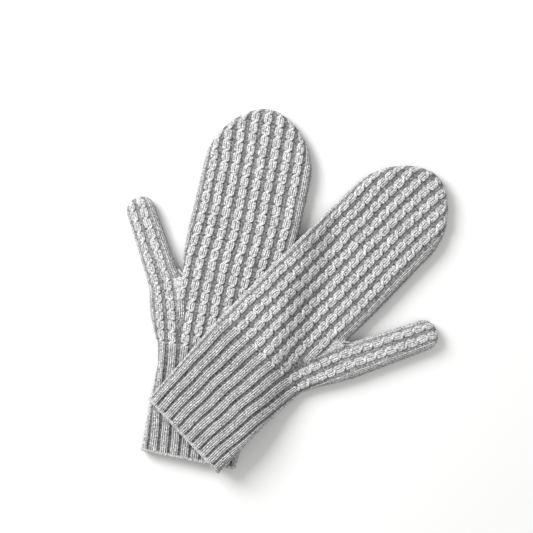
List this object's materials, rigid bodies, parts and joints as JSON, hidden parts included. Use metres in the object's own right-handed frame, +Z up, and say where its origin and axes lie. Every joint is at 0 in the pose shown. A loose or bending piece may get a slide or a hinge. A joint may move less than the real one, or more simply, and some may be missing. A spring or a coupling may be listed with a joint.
{
  "type": "pair of knitted mittens",
  "caption": "Pair of long knitted wool mittens in narrow cable rib with plain ribbed cuffs and gusset thumbs, lying flat with one across the other.",
  "frame": {"origin": "centre of the pair's footprint on the table", "axes": "+Z up from the table, +Y along the bisector of the two hand axes from the cuffs to the fingertips, +X towards the thumb of the over mitten"},
  "size_m": [0.2582, 0.292, 0.0259],
  "materials": {
    "wool_knit": "light grey marled wool knit, soft and slightly fuzzy",
    "wool_edge": "light grey marled wool, rolled edge stitches",
    "wool_yarn": "light grey marled plied wool yarn"
  },
  "bodies": {
    "under_palm": {"under_cast_on": "wool_edge", "under_cuff": "wool_knit", "under_palm": "wool_knit", "under_gusset": "wool_knit", "under_hand": "wool_knit", "under_crotch_join": "wool_edge", "under_edge_tail": "wool_yarn"},
    "under_fingers": {"under_fingers": "wool_knit", "under_fingertip": "wool_knit", "under_crown_yarn": "wool_yarn"},
    "under_thumb": {"under_thumb": "wool_knit", "under_thumb_tip": "wool_knit", "under_thumb_yarn": "wool_yarn"},
    "over_palm": {"over_palm": "wool_knit", "over_gusset": "wool_knit", "over_hand": "wool_knit", "over_crotch_join": "wool_edge"},
    "over_cuff": {"over_cast_on": "wool_edge", "over_cuff": "wool_knit", "over_edge_tail": "wool_yarn"},
    "over_fingers": {"over_fingers": "wool_knit", "over_fingertip": "wool_knit", "over_crown_yarn": "wool_yarn"},
    "over_thumb": {"over_thumb": "wool_knit", "over_thumb_tip": "wool_knit", "over_thumb_yarn": "wool_yarn"}
  },
  "joints": [
    {"name": "over_lift", "type": "slide", "parent": "under_palm", "child": "over_palm", "axis": [0, 0, 1], "range_m": [0, 0.12]},
    {"name": "over_finger_fold", "type": "hinge", "parent": "over_palm", "child": "over_fingers", "pos_m": [0.0466, 0.06481, 0.0162], "axis": [0.9573, -0.289, 0], "range_deg": [0, 150]},
    {"name": "over_thumb_fold", "type": "hinge", "parent": "over_palm", "child": "over_thumb", "pos_m": [0.06607, -0.00218, 0.01215], "axis": [0.7337, -0.6794, 0], "range_deg": [0, 90]},
    {"name": "over_wrist_fold", "type": "hinge", "parent": "over_palm", "child": "over_cuff", "pos_m": [0.01538, -0.03858, 0.026], "axis": [-0.9573, 0.289, 0], "range_deg": [0, 70]},
    {"name": "under_finger_fold", "type": "hinge", "parent": "under_palm", "child": "under_fingers", "pos_m": [-0.05092, 0.04812, 0.01215], "axis": [0.9573, 0.289, 0], "range_deg": [0, 90]},
    {"name": "under_thumb_fold", "type": "hinge", "parent": "under_palm", "child": "under_thumb", "pos_m": [-0.06738, -0.0143, 0.01215], "axis": [0.6909, 0.723, 0], "range_deg": [0, 90]}
  ]
}
